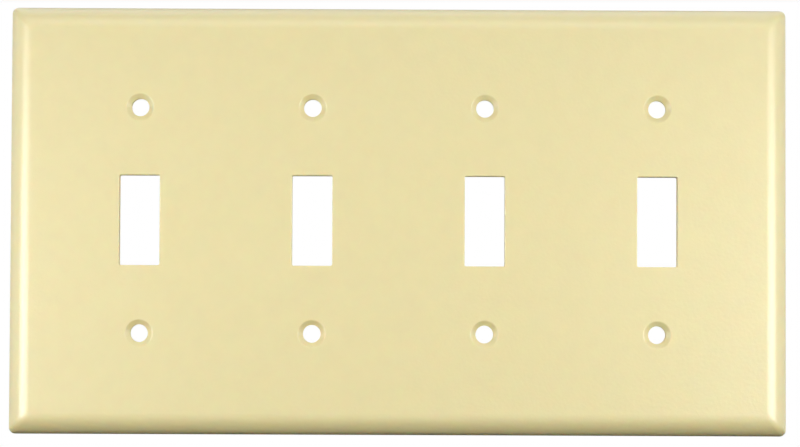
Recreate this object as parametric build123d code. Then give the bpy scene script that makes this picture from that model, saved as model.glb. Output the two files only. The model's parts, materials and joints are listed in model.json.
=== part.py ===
from build123d import *
import math
import os

# Four-gang toggle wall plate, moulded in one piece. All sizes are in millimetres.
#
# It is drawn lying on its back: X runs across the gangs, Y runs up the wall, Z stands out of the
# wall, and Z = 0 is the wall. The last step stands it up, so that the finished part has +Z up, its
# face looking along -Y and its rim on the wall, Y = 0. The origin is the centre of the plate there.

# Spacings set by the switches behind the plate
gang_count = 4
gang_pitch = 46.04
screw_spacing = 60.32

# Outline: a plate for one switch is this wide, and each further gang adds one pitch
single_gang_width = 69.85
plate_height = 114.3
plate_depth = 5.6
corner_radius = 1.7

# Rolled edge: a quarter of an ellipse from the flat face down to a short upright land
roll_width = 6.0
land_height = 0.3

# Walls of the moulding, and the radius in the corners of the hollow behind the face
face_thickness = 2.3
rim_width = 2.0
hollow_corner_radius = 0.8

# Toggle slots
slot_width = 10.7
slot_height = 24.0
slot_corner_radius = 0.4
slot_edge_radius = 0.3

# Screw holes for countersunk 6-32 plate screws
screw_hole_diameter = 4.76
countersink_diameter = 7.3
countersink_angle = 100.0
countersink_edge_radius = 0.6

# Round pads behind the screw holes and low frames behind the slots
pad_diameter = 9.5
pad_height = 1.0
frame_width = 1.2
frame_height = 0.8

# Stiffening ribs: tall ones between the gangs, low ones across the top and the bottom. Their ends
# run into the rim's wall by rib_root.
divider_thickness = 1.2
divider_wall_gap = 0.8
cross_rib_thickness = 1.2
cross_rib_height = 1.0
cross_rib_spacing = 84.0
rib_root = 0.4

# Marks left by the round ejector pins, four in each gang's bay
ejector_diameter = 4.0
ejector_depth = 0.1
ejector_column_offset = 14.0
ejector_row_offset = 21.0

# Sizes that follow from those above
plate_width = single_gang_width + (gang_count - 1) * gang_pitch
hollow_depth = plate_depth - face_thickness
divider_height = hollow_depth - divider_wall_gap
countersink_depth = (countersink_diameter - screw_hole_diameter) / 2 / math.tan(math.radians(countersink_angle / 2))
gang_centres = [(i - (gang_count - 1) / 2) * gang_pitch for i in range(gang_count)]
divider_centres = [(a + b) / 2 for a, b in zip(gang_centres, gang_centres[1:])]
screw_rows = (-screw_spacing / 2, screw_spacing / 2)


def rolled_section(span, depth, roll, land):
    """Section across the block: flat back, upright lands, rolled shoulders and flat face."""
    half = span / 2
    shoulder = half - roll
    with BuildLine() as outline:
        Line((-half, land), (-half, 0))
        Line((-half, 0), (half, 0))
        Line((half, 0), (half, land))
        EllipticalCenterArc((shoulder, land), roll, depth - land, 0, arc_size=90)
        Line((shoulder, depth), (-shoulder, depth))
        EllipticalCenterArc((-shoulder, land), roll, depth - land, 90, arc_size=90)
    return make_face(outline.line)


def rolled_block(width, height, depth, roll, land, corner):
    """Block whose four front edges roll over and meet in mitres, with rounded outer corners."""
    across = extrude(Plane.XZ * rolled_section(width, depth, roll, land), height / 2, both=True)
    upward = extrude(Plane.YZ * rolled_section(height, depth, roll, land), width / 2, both=True)
    corners = extrude(RectangleRounded(width, height, corner), depth)
    return across & upward & corners


def behind_face(sketch, height):
    """Solid of this height that stands on the back of the face, towards the wall."""
    return Pos(0, 0, hollow_depth - height) * extrude(sketch, height)


def shell():
    """Face, rolled edge and rim, hollow from behind with an even wall."""
    outside = rolled_block(plate_width, plate_height, plate_depth, roll_width, land_height, corner_radius)
    hollow = rolled_block(
        plate_width - 2 * rim_width,
        plate_height - 2 * rim_width,
        hollow_depth,
        roll_width - rim_width,
        land_height,
        hollow_corner_radius,
    )
    return outside - hollow


def ribs():
    """Tall dividers between the gangs and low cross ribs, their ends inside the rim's wall."""
    past_rim = 2 * (rib_root - rim_width)
    divider = behind_face(Rectangle(divider_thickness, plate_height + past_rim), divider_height)
    cross_rib = behind_face(Rectangle(plate_width + past_rim, cross_rib_thickness), cross_rib_height)
    dividers = [Pos(x, 0, 0) * divider for x in divider_centres]
    cross_ribs = [Pos(0, side * cross_rib_spacing / 2, 0) * cross_rib for side in (-1, 1)]
    return dividers + cross_ribs


def slot_frame():
    """Low frame that thickens the face around one slot."""
    outline = RectangleRounded(
        slot_width + 2 * frame_width,
        slot_height + 2 * frame_width,
        slot_corner_radius + frame_width,
    )
    return behind_face(outline, frame_height)


def slot_cutter():
    """Straight-sided tool for one toggle slot, from the wall to the face."""
    return extrude(RectangleRounded(slot_width, slot_height, slot_corner_radius), plate_depth)


def screw_cutter():
    """Tool for one screw hole: a straight bore with a countersink that opens in the face."""
    bore = extrude(Circle(screw_hole_diameter / 2), plate_depth)
    countersink = Cone(
        screw_hole_diameter / 2,
        countersink_diameter / 2,
        countersink_depth,
        align=(Align.CENTER, Align.CENTER, Align.MAX),
    )
    return bore + Pos(0, 0, plate_depth) * countersink


def ejector_marks():
    """Shallow round recesses in the back of the face."""
    mark = Pos(0, 0, hollow_depth) * extrude(Circle(ejector_diameter / 2), ejector_depth)
    return [
        Pos(x + i * ejector_column_offset, j * ejector_row_offset, 0) * mark
        for x in gang_centres
        for i in (-1, 1)
        for j in (-1, 1)
    ]


def face_openings(plate):
    """Outlines of the openings in the flat face."""
    return plate.faces().sort_by(Axis.Z)[-1].inner_wires()


def wall_plate():
    """The whole plate, lying on its back."""
    plate = shell()
    for rib in ribs():
        plate += rib
    for x in gang_centres:
        plate += Pos(x, 0, 0) * slot_frame()
        for y in screw_rows:
            plate += Pos(x, y, 0) * behind_face(Circle(pad_diameter / 2), pad_height)
    for x in gang_centres:
        plate -= Pos(x, 0, 0) * slot_cutter()
    plate = fillet([edge for wire in face_openings(plate) for edge in wire.edges()], slot_edge_radius)
    for x in gang_centres:
        for y in screw_rows:
            plate -= Pos(x, y, 0) * screw_cutter()
    round_edges = [wire.edges()[0] for wire in face_openings(plate) if len(wire.edges()) == 1]
    plate = fillet(round_edges, countersink_edge_radius)
    for mark in ejector_marks():
        plate -= mark
    return plate


finished = Rot(90, 0, 0) * wall_plate()
finished.label = "wall_plate"

os.makedirs("parts", exist_ok=True)
export_step(finished, "parts/wall_plate.step")

box = finished.bounding_box()
print("wall_plate", len(finished.solids()), "solid,", round(finished.volume), "mm3")
print("size", [round(s, 2) for s in (box.size.X, box.size.Y, box.size.Z)])
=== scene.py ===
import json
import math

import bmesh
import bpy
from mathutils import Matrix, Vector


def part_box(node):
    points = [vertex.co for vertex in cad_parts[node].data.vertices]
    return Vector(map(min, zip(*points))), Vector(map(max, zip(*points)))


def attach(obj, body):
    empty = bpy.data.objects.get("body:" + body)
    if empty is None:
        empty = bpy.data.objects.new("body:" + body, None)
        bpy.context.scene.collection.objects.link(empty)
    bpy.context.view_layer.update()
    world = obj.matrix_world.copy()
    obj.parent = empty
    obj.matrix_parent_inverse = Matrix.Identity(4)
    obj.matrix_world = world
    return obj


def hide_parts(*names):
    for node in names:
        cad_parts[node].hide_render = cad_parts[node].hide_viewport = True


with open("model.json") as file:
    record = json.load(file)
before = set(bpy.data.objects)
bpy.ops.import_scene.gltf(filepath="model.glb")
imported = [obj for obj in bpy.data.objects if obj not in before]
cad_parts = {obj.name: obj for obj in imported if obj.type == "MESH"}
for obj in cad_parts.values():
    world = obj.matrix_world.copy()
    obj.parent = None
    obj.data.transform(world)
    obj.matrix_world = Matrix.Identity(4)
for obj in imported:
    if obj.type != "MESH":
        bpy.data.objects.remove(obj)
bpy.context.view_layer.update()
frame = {"record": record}

# %% [markdown]
# # A four-gang toggle wall plate
#
# The object is a bare cover plate for four toggle switches that sit side by side in one wall box.
# It is a single moulding in ivory plastic: a flat face whose four edges roll back to the wall, four
# slots that the toggles stick out of, and eight countersunk holes for the plate screws. Behind the
# face it is hollow, with ribs between the gangs.
#
# The whole piece is modelled at one unit to the millimetre and shrunk to metres at the end. Bevels,
# merges and booleans all work to small fixed tolerances, and at real metres a detail of a tenth of
# a millimetre comes too close to them.

NODE = "wall_plate"
MM = 0.001

low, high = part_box(NODE)
plate_width, plate_depth, plate_height = [(b - a) / MM for a, b in zip(low, high)]
print("CAD box, mm:", round(plate_width, 2), round(plate_depth, 2), round(plate_height, 2))

# %% [markdown]
# ## Sizes
#
# The outline, the depth and the places of the screws come from the frame, so that the plate always
# fits the construction. What the frame doesn't state, such as the roll of the edge and the walls
# behind, is named here once, in millimetres.

# %% Sizes from the frame
screw_mounts = [m for m in frame["record"]["mounts"] if m["kind"] == "bolt_pattern"]
gang_centres = sorted(m["pos_m"][0] / MM for m in screw_mounts)
gang_pitch = gang_centres[1] - gang_centres[0]
divider_centres = [x + gang_pitch / 2 for x in gang_centres[:-1]]
screw_spacing = screw_mounts[0]["dims"]["spacing_y_mm"]
screw_hole_radius = screw_mounts[0]["dims"]["hole_r_mm"]
screw_rows = (-screw_spacing / 2, screw_spacing / 2)
print(len(gang_centres), "gangs at x, mm:", [round(x, 2) for x in gang_centres])

# %% Sizes of the shell
corner_radius = 1.7
crease_radius = 1.0
roll_width = 6.0
land_height = 0.3
face_thickness = 2.3
rim_width = 2.0
hollow_corner_radius = 0.8
hollow_depth = plate_depth - face_thickness

# %% [markdown]
# ## The shell
#
# The plate's outside is a stack of rounded rectangles. From the wall outwards each one is smaller
# and stands further out, and together they follow a quarter of an ellipse, which is the rolled
# edge. The corner radius shrinks on the way, from the round outer corner to a soft crease where two
# rolls meet, as on a real moulding.
#
# A bevel on a box would also roll the edges, but then all its corners share one radius. So each
# rectangle is a plane whose four corners are bevelled as vertices, and bridging each outline to the
# next makes the skin. The hollow behind is the same stack again, smaller, and the flat rim joins
# the two.

# %% Helpers for modelling
CORNER_STEPS = 8
ROLL_STEPS = 22
SAME = 1e-3      # two places closer than this, in millimetres, are the same place


def clear_selection():
    """Leaves edit mode and selects nothing."""
    if bpy.context.mode != "OBJECT":
        bpy.ops.object.mode_set(mode="OBJECT")
    bpy.ops.object.select_all(action="DESELECT")


def start_piece(name):
    """Adds a mesh object with nothing in it yet and opens it in edit mode."""
    clear_selection()
    bpy.ops.mesh.primitive_plane_add(size=1)
    piece = bpy.context.object
    piece.name = name
    piece.data.name = name
    bpy.ops.object.mode_set(mode="EDIT")
    bpy.ops.mesh.delete(type="VERT")
    return piece


def pick(piece, mode, wanted):
    """In edit mode, selects just the vertices, edges or faces that wanted() says, and counts them."""
    bpy.ops.mesh.select_mode(type=mode)
    bpy.ops.mesh.select_all(action="DESELECT")
    mesh = bmesh.from_edit_mesh(piece.data)
    elements = {"VERT": mesh.verts, "EDGE": mesh.edges, "FACE": mesh.faces}[mode]
    chosen = [e for e in elements if wanted(e)]
    for e in chosen:
        e.select_set(True)
    bmesh.update_edit_mesh(piece.data)
    return len(chosen)


def at_depth(edge, *depths):
    """True if both ends of the edge lie at one of these depths in front of the wall."""
    return any(all(abs(v.co.y + d) < SAME for v in edge.verts) for d in depths)


# %% Rings of the rolled edge
def add_ring(width, height, radius, depth):
    """In edit mode, adds the outline of a rounded rectangle, depth in front of the wall."""
    bpy.ops.mesh.select_mode(type="VERT")
    bpy.ops.mesh.primitive_plane_add(size=1, location=(0, -depth, 0), rotation=(math.pi / 2, 0, 0))
    bpy.ops.transform.resize(value=(width, 1, height), center_override=(0, -depth, 0))
    bpy.ops.mesh.bevel(offset=radius, segments=CORNER_STEPS, affect="VERTICES")
    bpy.ops.mesh.delete(type="ONLY_FACE")


def rolled_rings(width, height, depth, roll, corner, crease):
    """Width, height, corner radius and depth of each ring, from the wall out to the flat."""
    rings = [(width, height, corner, 0.0)]
    for i in range(ROLL_STEPS + 1):
        turn = math.pi / 2 * i / ROLL_STEPS
        inset = roll * (1 - math.cos(turn))
        radius = corner + (crease - corner) * inset / roll
        ring_depth = land_height + (depth - land_height) * math.sin(turn)
        rings.append((width - 2 * inset, height - 2 * inset, radius, ring_depth))
    return rings


def add_skin(piece, rings):
    """In edit mode, adds the rings, bridges each to the next and closes both ends."""
    for ring in rings:
        add_ring(*ring)
    for near, far in zip(rings, rings[1:]):
        pick(piece, "EDGE", lambda e: at_depth(e, near[3], far[3]) and not e.link_faces[1:])
        bpy.ops.mesh.bridge_edge_loops()
    for end in (rings[0], rings[-1]):
        pick(piece, "EDGE", lambda e: at_depth(e, end[3]))
        bpy.ops.mesh.edge_face_add()
    bpy.ops.mesh.select_all(action="SELECT")
    bpy.ops.mesh.normals_make_consistent(inside=False)


def boolean(piece, tools, operation):
    """Cuts the tools from the piece, or merges them into it, and removes them."""
    clear_selection()
    for tool in tools:
        tool.select_set(True)
    bpy.context.view_layer.objects.active = tools[0]
    if len(tools) > 1:
        bpy.ops.object.join()
    tool = bpy.context.object
    clear_selection()
    piece.select_set(True)
    bpy.context.view_layer.objects.active = piece
    bpy.ops.object.modifier_add(type="BOOLEAN")
    modifier = piece.modifiers[-1]
    modifier.object = tool
    modifier.operation = operation
    modifier.solver = "EXACT"
    modifier.use_self = operation == "UNION"      # ribs that cross each other are merged too
    bpy.ops.object.modifier_apply(modifier=modifier.name)
    clear_selection()
    tool.select_set(True)
    bpy.ops.object.delete()
    print(operation.lower(), "with", len(tools), "tools:", len(piece.data.polygons), "faces")


# %% Block and hollow
PAST = 1.0       # cutting tools run this far past the surface that they open

plate = start_piece("wall_plate_moulding")
add_skin(
    plate,
    rolled_rings(plate_width, plate_height, plate_depth, roll_width, corner_radius, crease_radius),
)
clear_selection()

hollow_rings = rolled_rings(
    plate_width - 2 * rim_width,
    plate_height - 2 * rim_width,
    hollow_depth,
    roll_width - rim_width,
    hollow_corner_radius,
    crease_radius,
)
hollow = start_piece("hollow")
add_skin(hollow, [(*hollow_rings[0][:3], -PAST)] + hollow_rings[1:])
clear_selection()
boolean(plate, [hollow], "DIFFERENCE")

# %% [markdown]
# ## Ribs, pads and frames on the back
#
# Nothing here shows from the front, but a plate in the hand is turned over, and its back is what
# makes it a moulding: tall ribs between the gangs and low ones across keep the thin face flat, a
# round pad stands behind each screw, and a low frame runs round each slot.
#
# Each rib is one bar whose long edges away from the face are rounded with a bevel while it is still
# a plain bar, because that is clean and certain, and a bevel on the finished moulding isn't. Then
# one boolean merges them all. Their roots run a little into the wall that carries them, so no two
# surfaces lie in one plane.

# %% Sizes of the back
divider_thickness = 1.2
divider_wall_gap = 0.8
cross_rib_thickness = 1.2
cross_rib_height = 1.0
cross_rib_spacing = 84.0
rib_root = 0.4
pad_diameter = 9.5
pad_height = 1.0
frame_width = 1.2
frame_height = 0.8
slot_width = 10.7
slot_height = 24.0
slot_corner_radius = 0.4
edge_softness = 0.2
ROOT = 0.5       # how far what stands on the back of the face runs into it
CIRCLE_STEPS = 64
EDGE_STEPS = 3


def soften_back(piece, depth):
    """In edit mode, rounds the edges of the piece that lie at this depth."""
    pick(piece, "EDGE", lambda e: at_depth(e, depth))
    bpy.ops.mesh.bevel(offset=edge_softness, segments=EDGE_STEPS, affect="EDGES")


def bar(name, x, z, length_x, length_z, height):
    """A rib on the back of the face, with its free edges rounded."""
    piece = start_piece(name)
    top = hollow_depth - height
    bpy.ops.mesh.primitive_cube_add(size=1, location=(x, -(top + hollow_depth + ROOT) / 2, z))
    bpy.ops.transform.resize(value=(length_x, height + ROOT, length_z))
    soften_back(piece, top)
    clear_selection()
    return piece


def round_bar(name, x, z, radius, height):
    """A round pad on the back of the face, with its free edge rounded."""
    piece = start_piece(name)
    top = hollow_depth - height
    bpy.ops.mesh.primitive_cylinder_add(
        vertices=CIRCLE_STEPS,
        radius=radius,
        depth=height + ROOT,
        location=(x, -(top + hollow_depth + ROOT) / 2, z),
        rotation=(math.pi / 2, 0, 0),
    )
    soften_back(piece, top)
    clear_selection()
    return piece


def copy_to(piece, x, z):
    """A copy of the piece with a mesh of its own, moved across the plate."""
    clear_selection()
    piece.select_set(True)
    bpy.context.view_layer.objects.active = piece
    bpy.ops.object.duplicate(linked=False)
    copy = bpy.context.object
    bpy.ops.transform.translate(value=(x, 0, z))
    bpy.ops.object.transform_apply(location=True, rotation=True, scale=True)
    clear_selection()
    return copy


# %% Ribs, pads and frames
rib_height_z = plate_height - 2 * rim_width + 2 * rib_root
rib_length_x = plate_width - 2 * rim_width + 2 * rib_root
divider_height = hollow_depth - divider_wall_gap
dividers = [
    bar("divider", x, 0, divider_thickness, rib_height_z, divider_height) for x in divider_centres
]
cross_ribs = [
    bar("cross_rib", 0, side * cross_rib_spacing / 2, rib_length_x, cross_rib_thickness, cross_rib_height)
    for side in (-1, 1)
]
pad = round_bar("pad", gang_centres[0], screw_rows[0], pad_diameter / 2, pad_height)
pads = [pad] + [
    copy_to(pad, x - gang_centres[0], z - screw_rows[0])
    for x in gang_centres
    for z in screw_rows
    if (x, z) != (gang_centres[0], screw_rows[0])
]


def frame_piece():
    """The low frame round the first slot, as a rounded block. The slot is cut through it later."""
    piece = start_piece("slot_frame")
    outline = (
        slot_width + 2 * frame_width,
        slot_height + 2 * frame_width,
        slot_corner_radius + frame_width,
    )
    top = hollow_depth - frame_height
    add_skin(piece, [(*outline, top), (*outline, hollow_depth + ROOT)])
    soften_back(piece, top)
    bpy.ops.mesh.select_all(action="SELECT")
    bpy.ops.transform.translate(value=(gang_centres[0], 0, 0))
    clear_selection()
    return piece


slot_frame = frame_piece()
slot_frames = [slot_frame] + [copy_to(slot_frame, x - gang_centres[0], 0) for x in gang_centres[1:]]
boolean(plate, dividers + cross_ribs + pads + slot_frames, "UNION")

# %% [markdown]
# ## Slots, screw holes and ejector marks
#
# The slots and holes are cut with tools that already have the shape of the finished opening: each
# tool widens in a small arc where it leaves the face, so the cut leaves a rounded edge. A screw
# hole's tool goes from the straight bore to the cone of the countersink and then rounds over into
# the face, which is why the countersink has no sharp rim.
#
# The marks are what the pins leave that push the moulding out of its mould.

# %% Sizes of the openings
slot_edge_radius = 0.3
countersink_diameter = 7.3
countersink_angle = math.radians(100.0)
countersink_edge_radius = 0.6
ejector_diameter = 4.0
ejector_depth = 0.1
ejector_column_offset = 14.0
ejector_row_offset = 21.0
PROUD = 0.002    # the rounded edges end this far above the face, so that the cut is clean
ARC_STEPS = 5


def slot_tool():
    """The cutting tool for the first slot."""
    rings = [(slot_width, slot_height, slot_corner_radius, hollow_depth - frame_height - PAST)]
    for i in range(ARC_STEPS + 1):
        turn = math.pi / 2 * i / ARC_STEPS
        flare = slot_edge_radius * (1 - math.cos(turn))
        depth = plate_depth + PROUD - slot_edge_radius * (1 - math.sin(turn))
        rings.append((slot_width + 2 * flare, slot_height + 2 * flare, slot_corner_radius + flare, depth))
    rings.append((*rings[-1][:3], plate_depth + PAST))
    piece = start_piece("slot_tool")
    add_skin(piece, rings)
    bpy.ops.mesh.select_all(action="SELECT")
    bpy.ops.transform.translate(value=(gang_centres[0], 0, 0))
    clear_selection()
    return piece


def turned_tool(name, x, z, profile):
    """A round tool along Y, from pairs of radius and depth, starting nearest the wall."""
    piece = start_piece(name)
    first_radius, first_depth = profile[0]
    bpy.ops.mesh.primitive_circle_add(
        vertices=CIRCLE_STEPS,
        radius=first_radius,
        fill_type="NGON",
        location=(x, -first_depth, z),
        rotation=(math.pi / 2, 0, 0),
    )
    for (r0, d0), (r1, d1) in zip(profile, profile[1:]):
        bpy.ops.mesh.extrude_region_move(TRANSFORM_OT_translate={"value": (0, d0 - d1, 0)})
        bpy.ops.transform.resize(value=(r1 / r0, 1, r1 / r0), center_override=(x, -d1, z))
    bpy.ops.mesh.select_all(action="SELECT")
    bpy.ops.mesh.normals_make_consistent(inside=False)
    clear_selection()
    return piece


def countersink_profile():
    """Bore, cone and rounded edge of a screw hole, as pairs of radius and depth."""
    half_angle = countersink_angle / 2
    rim_radius = countersink_diameter / 2
    bore_end = plate_depth - (rim_radius - screw_hole_radius) / math.tan(half_angle)
    profile = [
        (screw_hole_radius, hollow_depth - pad_height - PAST),
        (screw_hole_radius, bore_end),
    ]
    centre_radius = rim_radius + countersink_edge_radius * math.tan((math.pi / 2 - half_angle) / 2)
    centre_depth = plate_depth + PROUD - countersink_edge_radius
    for i in range(ARC_STEPS + 1):
        turn = half_angle + (math.pi / 2 - half_angle) * i / ARC_STEPS
        profile.append(
            (
                centre_radius - countersink_edge_radius * math.cos(turn),
                centre_depth + countersink_edge_radius * math.sin(turn),
            )
        )
    profile.append((profile[-1][0], plate_depth + PAST))
    return profile


# %% Cutting the openings
first_slot = slot_tool()
slot_tools = [first_slot] + [copy_to(first_slot, x - gang_centres[0], 0) for x in gang_centres[1:]]
screw_tools = [
    turned_tool("screw_tool", x, z, countersink_profile()) for x in gang_centres for z in screw_rows
]
mark_profile = [
    (ejector_diameter / 2, hollow_depth - PAST),
    (ejector_diameter / 2, hollow_depth + ejector_depth),
]
mark_tools = [
    turned_tool("mark_tool", x + i * ejector_column_offset, j * ejector_row_offset, mark_profile)
    for x in gang_centres
    for i in (-1, 1)
    for j in (-1, 1)
]
boolean(plate, slot_tools + screw_tools + mark_tools, "DIFFERENCE")

# %% [markdown]
# ## Finishing the mesh
#
# The mesh is cleaned, shrunk to metres and shaded smooth up to an angle, so that arcs look round and
# real edges stay edges. A rounded edge that runs into a large flat would still tilt the flat's
# shading at its border. Weighted normals let the large face win there, so the flat looks flat.

# %% Clean, shrink and shade
SMOOTH_UP_TO = math.radians(35)
LARGE_FACE_WEIGHT = 100

clear_selection()
plate.select_set(True)
bpy.context.view_layer.objects.active = plate
bpy.ops.object.mode_set(mode="EDIT")
bpy.ops.mesh.select_all(action="SELECT")
bpy.ops.mesh.remove_doubles(threshold=SAME / 2)
bpy.ops.mesh.normals_make_consistent(inside=False)
bpy.ops.object.mode_set(mode="OBJECT")
plate.scale = (MM, MM, MM)
bpy.ops.object.transform_apply(location=True, rotation=True, scale=True)
bpy.ops.object.shade_smooth_by_angle(angle=SMOOTH_UP_TO)
bpy.ops.object.modifier_add(type="WEIGHTED_NORMAL")
plate.modifiers[-1].keep_sharp = True
plate.modifiers[-1].weight = LARGE_FACE_WEIGHT
bpy.ops.object.modifier_apply(modifier=plate.modifiers[-1].name)

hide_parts(NODE)
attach(plate, "root")
print("moulding:", len(plate.data.polygons), "faces")

# %% [markdown]
# ## Ivory plastic
#
# Wall plates are moulded from a filled plastic in a mould with a fine satin texture. To the eye that
# is a warm, even colour under a soft, broad highlight, with a grain so fine that it only takes the
# shine off.
#
# Three things make it. The plastic isn't quite opaque: light goes in a fraction of a millimetre and
# comes out warmer, so its shade is soft and golden, not grey. That is a little subsurface scatter.
# The mould's texture is a noise of just under a millimetre, in the bump alone. The pigment is a noise
# some millimetres across between two ivories that the eye can hardly tell apart, as flow in the
# mould leaves them. A printed or painted pattern would be wrong, since the colour goes all through.

# %% Node helpers
def linear(code):
    """An sRGB hex colour as the linear values that a shader works with."""
    channels = [int(code[i:i + 2], 16) / 255 for i in (1, 3, 5)]
    return [c / 12.92 if c <= 0.04045 else ((c + 0.055) / 1.055) ** 2.4 for c in channels] + [1.0]


def add_node(tree, kind, inputs, **settings):
    """Adds one node, with its settings, and fills or links its inputs by name."""
    node = tree.nodes.new(kind)
    for name, value in settings.items():
        setattr(node, name, value)
    for name, value in inputs.items():
        if isinstance(value, bpy.types.NodeSocket):
            tree.links.new(value, node.inputs[name])
        else:
            node.inputs[name].default_value = value
    return node


def new_material(name):
    """An empty node material and its tree."""
    material = bpy.data.materials.new(name)
    material.use_nodes = True
    material.node_tree.nodes.clear()
    return material, material.node_tree


# %% Satin moulded plastic
MOULD_GRAIN = 0.9 * MM
GRAIN_DEPTH = 0.06 * MM
GRAIN_STRENGTH = 0.55
PIGMENT_CLOUD = 4.0 * MM
SCATTER_DEPTH = 1.0 * MM


def moulded_ivory():
    """Ivory plastic from a satin mould: even and warm, with a soft shine and a very fine grain."""
    material, tree = new_material("moulded_ivory_plastic")
    place = add_node(tree, "ShaderNodeTexCoord", {}).outputs["Object"]
    cloud = add_node(
        tree,
        "ShaderNodeTexNoise",
        {"Vector": place, "Scale": 1 / PIGMENT_CLOUD, "Detail": 1.0, "Roughness": 0.5},
    )
    pigment = add_node(
        tree,
        "ShaderNodeMixRGB",
        {"Fac": cloud.outputs["Fac"], "Color1": linear("#E5D9A0"), "Color2": linear("#E9DDA4")},
    )
    grain = add_node(
        tree,
        "ShaderNodeTexNoise",
        {"Vector": place, "Scale": 1 / MOULD_GRAIN, "Detail": 2.0, "Roughness": 0.5},
    )
    bump = add_node(
        tree,
        "ShaderNodeBump",
        {"Height": grain.outputs["Fac"], "Strength": GRAIN_STRENGTH, "Distance": GRAIN_DEPTH},
    )
    shader = add_node(
        tree,
        "ShaderNodeBsdfPrincipled",
        {
            "Base Color": pigment.outputs["Color"],
            "Roughness": 0.36,
            "Specular IOR Level": 0.9,
            "IOR": 1.6,
            "Subsurface Weight": 0.4,
            "Subsurface Radius": (1.0, 0.55, 0.25),
            "Subsurface Scale": SCATTER_DEPTH,
            "Normal": bump.outputs["Normal"],
        },
    )
    add_node(tree, "ShaderNodeOutputMaterial", {"Surface": shader.outputs["BSDF"]})
    return material


plate.data.materials.clear()
plate.data.materials.append(moulded_ivory())

# %% [markdown]
# ## Camera
#
# The plate stands upright and faces the camera squarely, as such plates are shown for sale. A long
# lens three quarters of a metre away keeps its edges straight and almost parallel. The camera stands
# a little below the plate's middle and looks up at it, so that a sliver more of the lower roll shows.

# %% Camera
LENS = 126.25            # millimetres, on a sensor of the width below
SENSOR_WIDTH = 36.0
CLIP_START = 0.05        # metres, as the places of the camera are
CLIP_END = 20.0
VIEW_DISTANCE = 0.753
VIEW_SIDE = -0.00256
VIEW_RISE = -0.02857
PITCH = math.radians(2.138)
YAW = math.radians(0.228)
ROLL = math.radians(0.234)

camera = bpy.data.objects.new("camera", bpy.data.cameras.new("camera"))
bpy.context.scene.collection.objects.link(camera)
camera.data.sensor_width = SENSOR_WIDTH
camera.data.lens = LENS
camera.data.clip_start = CLIP_START
camera.data.clip_end = CLIP_END
turned = Matrix.Rotation(-YAW, 4, "Z") @ Matrix.Rotation(math.pi / 2 + PITCH, 4, "X")
aim = turned @ Matrix.Rotation(ROLL, 4, "Z")
camera.matrix_world = Matrix.Translation((VIEW_SIDE, -VIEW_DISTANCE, VIEW_RISE)) @ aim
bpy.context.scene.camera = camera

# %% [markdown]
# ## Lamps
#
# The look of a satin plate is mostly the look of its rolled edges. Two small soft boxes stand close,
# left and right of the camera. Each leaves one bright line along its side's roll, and since they are
# close, the face grows lighter towards both ends. A box high in front evens the face out, and a
# second one, high on the right, lights the upper right a little more, as a window there would.
#
# The box above stands a little behind the plate, so it lights the top roll out to its edge and hardly
# reaches the face, and the two side boxes do that for the side rolls. A weak strip close over the top
# edge lifts the top roll and the uppermost face. Nothing lights the lower roll
# from below, which is why it falls into shade. The last box is low behind, for the back of the
# plate, and it is kept out of reflections, because the walls of the screw holes would mirror it and
# look as white as the openings. No box shows itself to the camera.

# %% Lamps
LAMP_SPREAD = math.radians(120)


def lamp(name, azimuth, elevation, distance, width, height, watts):
    """A soft box aimed at the plate. Azimuth 0 is at the camera and 90 on the right."""
    light = bpy.data.lights.new(name, "AREA")
    light.shape = "RECTANGLE"
    light.size = width
    light.size_y = height
    light.energy = watts
    light.spread = LAMP_SPREAD
    piece = bpy.data.objects.new(name, light)
    bpy.context.scene.collection.objects.link(piece)
    turn = math.radians(azimuth)
    rise = math.radians(elevation)
    level = math.cos(rise)
    away = Vector((math.sin(turn) * level, -math.cos(turn) * level, math.sin(rise)))
    piece.location = away * distance
    piece.rotation_euler = away.to_track_quat("Z", "Y").to_euler()
    piece.visible_camera = False
    return piece


lamp("left_box", azimuth=-46, elevation=-5, distance=0.40, width=0.21, height=0.17, watts=0.398)
lamp("right_box", azimuth=43.5, elevation=-5, distance=0.40, width=0.24, height=0.17, watts=0.401)
lamp("left_side_box", azimuth=-90, elevation=2, distance=0.5, width=0.3, height=0.3, watts=0.10)
lamp("right_side_box", azimuth=90, elevation=2, distance=0.5, width=0.3, height=0.3, watts=0.08)
lamp("high_box", azimuth=0, elevation=38, distance=0.9, width=1.0, height=0.5, watts=0.78)
lamp("high_right_box", azimuth=50, elevation=30, distance=0.9, width=0.6, height=0.5, watts=0.34)
lamp("top_strip", azimuth=0, elevation=75, distance=0.15, width=0.3, height=0.05, watts=0.005)
lamp("top_box", azimuth=0, elevation=114, distance=0.6, width=0.8, height=0.8, watts=1.15)
back_box = lamp("back_box", azimuth=180, elevation=8, distance=1.0, width=0.8, height=0.6, watts=3.6)
back_box.visible_glossy = False      # the screw holes' walls would mirror it towards the camera

# %% [markdown]
# ## World, floor, card and cloth
#
# The plate stands against plain white. That white is only for the eye: the world shines for camera,
# glossy and transmission rays, so that a satin surface shows it too, and it puts no light on the
# plate. The floor is an ordinary pale matt one, lifted to near white in the same way, and where the
# plate's shadow falls it still darkens.
#
# White all round would also shine in the outermost strip of every roll, where a surface seen at a
# grazing angle mirrors what is under and behind it. On a plate held up in a studio it doesn't, since
# that side of the room is dark. Here a black card lies under the plate and a narrow black cloth hangs
# far behind it. The rolls mirror them, and the camera doesn't see them.

# %% World
def white_to_the_eye(tree):
    """1 for camera, glossy and transmission rays, and 0 for the rays that light the plate."""
    path = add_node(tree, "ShaderNodeLightPath", {})
    seen = add_node(
        tree,
        "ShaderNodeMath",
        {0: path.outputs["Is Camera Ray"], 1: path.outputs["Is Glossy Ray"]},
        operation="MAXIMUM",
    )
    return add_node(
        tree,
        "ShaderNodeMath",
        {0: seen.outputs[0], 1: path.outputs["Is Transmission Ray"]},
        operation="MAXIMUM",
    ).outputs[0]


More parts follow.
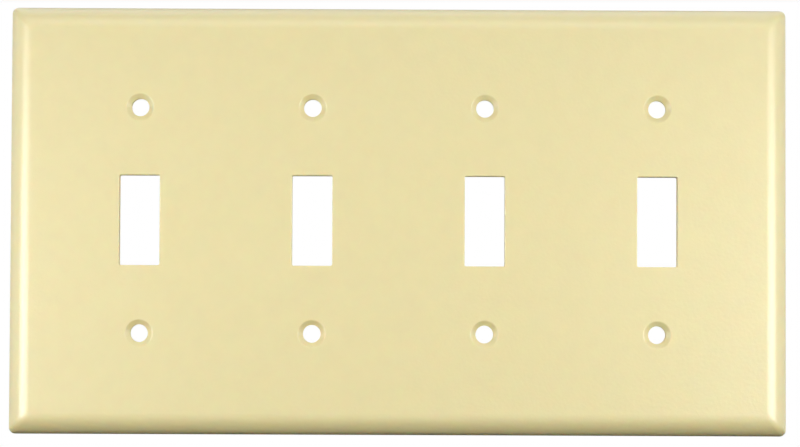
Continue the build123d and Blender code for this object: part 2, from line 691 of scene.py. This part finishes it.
world = bpy.data.worlds.new("studio")
bpy.context.scene.world = world
world.use_nodes = True
world.node_tree.nodes.clear()
backdrop = add_node(
    world.node_tree,
    "ShaderNodeBackground",
    {"Color": (1, 1, 1, 1), "Strength": white_to_the_eye(world.node_tree)},
)
add_node(world.node_tree, "ShaderNodeOutputWorld", {"Surface": backdrop.outputs[0]})

# %% Floor, card and cloth
FLOOR_DROP = 0.6
FLOOR_SIZE = 8.0
FLOOR_LIFT = 0.9
CARD_DROP = 0.15
CARD_WIDTH = 0.6
CARD_LENGTH = 1.3
CARD_MIDDLE = 0.52
CLOTH_DISTANCE = 1.3
CLOTH_WIDTH = 0.8
CLOTH_HEIGHT = 3.4


def stage_sheet(name, place, size_x, size_y, tilt):
    """A flat rectangle that is part of the stage. Tilt 0 lies level and tilt 90 stands upright."""
    clear_selection()
    bpy.ops.mesh.primitive_plane_add(size=1, location=place, rotation=(math.radians(tilt), 0, 0))
    sheet = bpy.context.object
    sheet.name = name
    sheet.scale = (size_x, size_y, 1)
    bpy.ops.object.transform_apply(location=True, rotation=True, scale=True)
    return sheet


def pale_floor():
    """Matt off-white, and near white to the eye."""
    material, tree = new_material("pale_matt_floor")
    paint = add_node(
        tree,
        "ShaderNodeBsdfPrincipled",
        {"Base Color": linear("#F2F2F0"), "Roughness": 0.9},
    )
    lift = add_node(
        tree,
        "ShaderNodeMath",
        {0: white_to_the_eye(tree), 1: FLOOR_LIFT},
        operation="MULTIPLY",
    )
    glow = add_node(tree, "ShaderNodeEmission", {"Color": (1, 1, 1, 1), "Strength": lift.outputs[0]})
    both = add_node(tree, "ShaderNodeAddShader", {0: paint.outputs[0], 1: glow.outputs[0]})
    add_node(tree, "ShaderNodeOutputMaterial", {"Surface": both.outputs[0]})
    return material


def black_matt():
    """Matt black card and cloth, with no shine of their own."""
    material, tree = new_material("matt_black")
    paint = add_node(
        tree,
        "ShaderNodeBsdfDiffuse",
        {"Color": linear("#202020")},
    )
    add_node(tree, "ShaderNodeOutputMaterial", {"Surface": paint.outputs[0]})
    return material


matt_black = black_matt()
floor = stage_sheet("floor", (0, 0, -FLOOR_DROP), FLOOR_SIZE, FLOOR_SIZE, 0)
floor.data.materials.append(pale_floor())
card = stage_sheet("card_below", (0, CARD_MIDDLE, -CARD_DROP), CARD_WIDTH, CARD_LENGTH, 0)
cloth_middle = CLOTH_HEIGHT / 2 - FLOOR_DROP
cloth = stage_sheet("cloth_behind", (0, CLOTH_DISTANCE, cloth_middle), CLOTH_WIDTH, CLOTH_HEIGHT, 90)
for sheet in (card, cloth):
    sheet.data.materials.append(matt_black)
    sheet.visible_camera = False      # they are there for the rolls' reflections, not to be looked at

bpy.context.scene.view_settings.view_transform = "Standard"
